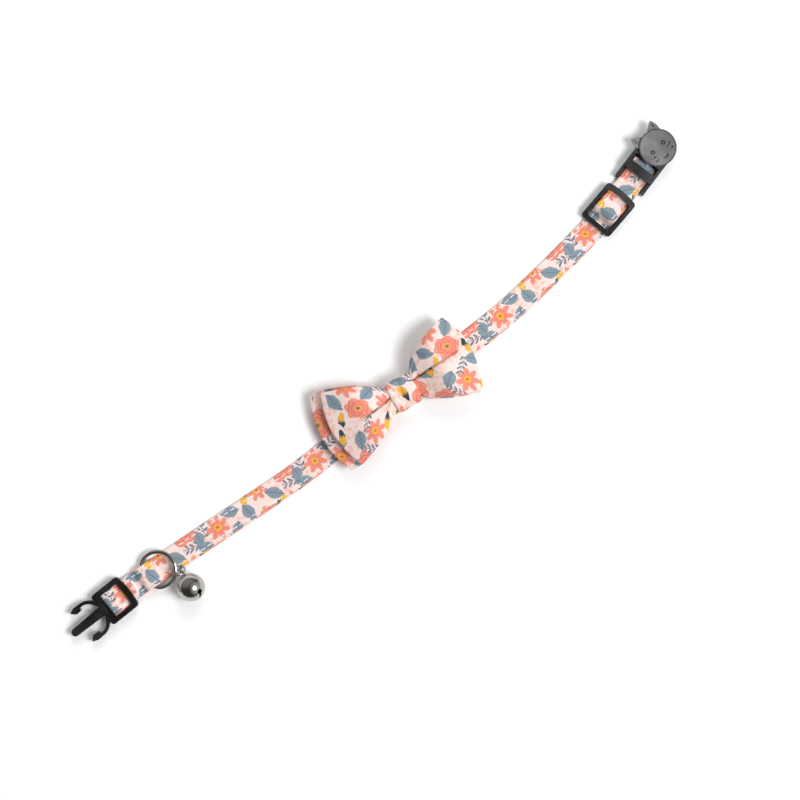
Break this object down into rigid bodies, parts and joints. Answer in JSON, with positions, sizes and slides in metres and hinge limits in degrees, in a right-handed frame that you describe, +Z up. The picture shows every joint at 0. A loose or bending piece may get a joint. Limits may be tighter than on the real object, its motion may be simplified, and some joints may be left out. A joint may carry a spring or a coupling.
{
  "type": "pet bow tie collar",
  "caption": "flower-print cat collar lying flat, with a two-layer bow, slide, D-ring with bell, hooked buckle half and cat-face clasp",
  "frame": {"origin": "centre of the part's box in plan, on the surface the collar lies on", "axes": "+X along the collar from the buckle half's prongs to the cat clasp, +Y across the strap toward the cat's ears, +Z up from the surface"},
  "size_m": [0.3028, 0.0414, 0.0154],
  "materials": {
    "strap_cloth": "printed cotton on webbing, top-stitched",
    "bow_cloth": "printed cotton",
    "elastic": "woven elastic",
    "black_plastic": "moulded, satin",
    "ring_steel": "polished nickel plate",
    "bell_nickel": "polished nickel plate"
  },
  "bodies": {
    "root": {"strap": "strap_cloth", "bow_front": "bow_cloth", "bow_back": "bow_cloth", "bow_knot": "bow_cloth", "bow_loop": "elastic", "male_buckle": "black_plastic", "slide": "black_plastic", "cat_clasp": "black_plastic", "d_ring": "ring_steel", "bell_ring": "ring_steel", "bell": "bell_nickel", "bell_pea": "bell_nickel"}
  },
  "joints": []
}
